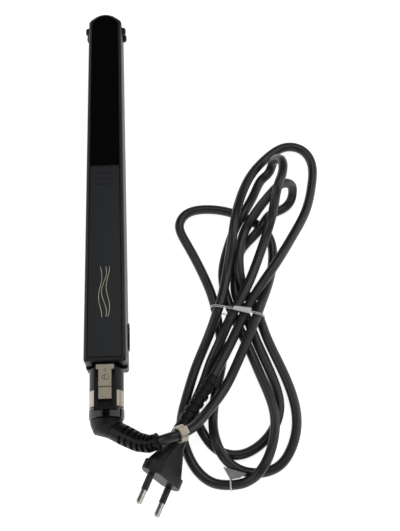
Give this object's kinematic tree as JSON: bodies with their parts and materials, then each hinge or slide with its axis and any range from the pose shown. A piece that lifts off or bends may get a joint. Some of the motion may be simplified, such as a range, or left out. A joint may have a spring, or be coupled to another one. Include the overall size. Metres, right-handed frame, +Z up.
{
  "type": "hair straightener",
  "caption": "Slim two-arm hair straightener, closed and locked, with a sliding lock, a swivel cord in tied loops and a two-pin plug.",
  "frame": {"origin": "on the table surface under the middle of the closed arms, barrel and end cap", "axes": "+Y along the arms to the tip, +X to the power switch's side, +Z up from the lower arm to the upper arm"},
  "size_m": [0.1511, 0.3322, 0.0353],
  "materials": {
    "satin_black": "satin moulded plastic",
    "gloss_black": "piano black",
    "charcoal": "soft satin charcoal",
    "champagne": "satin champagne",
    "steel": "plain turned steel",
    "brass": "plain brass",
    "plate_coat": "dark ceramic-coated aluminium",
    "heat_plastic": "matte heat-resistant plastic",
    "ceramic_white": "unglazed white ceramic",
    "mica": "thin mica sheet",
    "silicone": "red-brown silicone",
    "board_green": "green circuit board",
    "cord_black": "satin flexible jacket",
    "nickel": "nickel-plated brass",
    "tie_white": "white coated wire tie"
  },
  "bodies": {
    "lower_arm": {"lower_shell": "satin_black", "lower_front_panel": "gloss_black", "lower_handle_panel": "charcoal", "lower_tip_pin": "satin_black", "lower_plate_carrier": "heat_plastic", "lower_front_pad": "silicone", "lower_rear_pad": "silicone", "lower_inner_cover": "heat_plastic", "lower_front_screw": "steel", "lower_rear_screw": "steel", "control_board": "board_green", "thermal_fuse": "ceramic_white", "switch_body": "heat_plastic", "barrel": "satin_black", "trim_ring": "champagne", "end_cap": "gloss_black", "lock_channel": "satin_black", "hinge_pin": "steel", "brush_front": "brass", "brush_rear": "brass"},
    "upper_arm": {"upper_shell": "satin_black", "upper_front_panel": "gloss_black", "upper_handle_panel": "charcoal", "upper_tip_pin": "satin_black", "upper_plate_carrier": "heat_plastic", "upper_front_pad": "silicone", "upper_rear_pad": "silicone", "upper_inner_cover": "heat_plastic", "upper_front_screw": "steel", "upper_rear_screw": "steel"},
    "upper_plate_body": {"upper_plate": "plate_coat", "upper_heater": "ceramic_white", "upper_mica_sheet": "mica"},
    "lower_plate_body": {"lower_plate": "plate_coat", "lower_heater": "ceramic_white", "lower_mica_sheet": "mica"},
    "lock": {"lock_slider": "champagne"},
    "power_switch": {"power_slider": "satin_black"},
    "swivel": {"swivel_hub": "heat_plastic", "slip_ring_front": "brass", "slip_ring_rear": "brass", "swivel_cone": "satin_black", "strain_relief": "satin_black", "cord": "cord_black", "cord_clip": "champagne", "bundle_tie": "tie_white", "loop_tie": "tie_white", "plug_body": "satin_black", "plug_relief": "satin_black", "plug_pin_upper": "nickel", "plug_pin_lower": "nickel", "pin_sleeve_upper": "heat_plastic", "pin_sleeve_lower": "heat_plastic"}
  },
  "joints": [
    {"name": "arm_hinge", "type": "hinge", "parent": "lower_arm", "child": "upper_arm", "pos_m": [0, -0.1, 0.021], "axis": [1, 0, 0], "range_deg": [0, 22]},
    {"name": "upper_plate_float", "type": "slide", "parent": "upper_arm", "child": "upper_plate_body", "axis": [0, 0, 1], "range_m": [0, 0.0006], "stiffness_N_per_m": 2000},
    {"name": "lower_plate_float", "type": "slide", "parent": "lower_arm", "child": "lower_plate_body", "axis": [0, 0, -1], "range_m": [0, 0.0006], "stiffness_N_per_m": 2000},
    {"name": "lock_slide", "type": "slide", "parent": "lower_arm", "child": "lock", "axis": [0, -1, 0], "range_m": [0, 0.0045]},
    {"name": "power_slide", "type": "slide", "parent": "lower_arm", "child": "power_switch", "axis": [0, -1, 0], "range_m": [0, 0.003]},
    {"name": "cord_swivel", "type": "hinge", "parent": "lower_arm", "child": "swivel", "pos_m": [0, -0.13, 0.014], "axis": [0, 1, 0], "continuous": true}
  ]
}
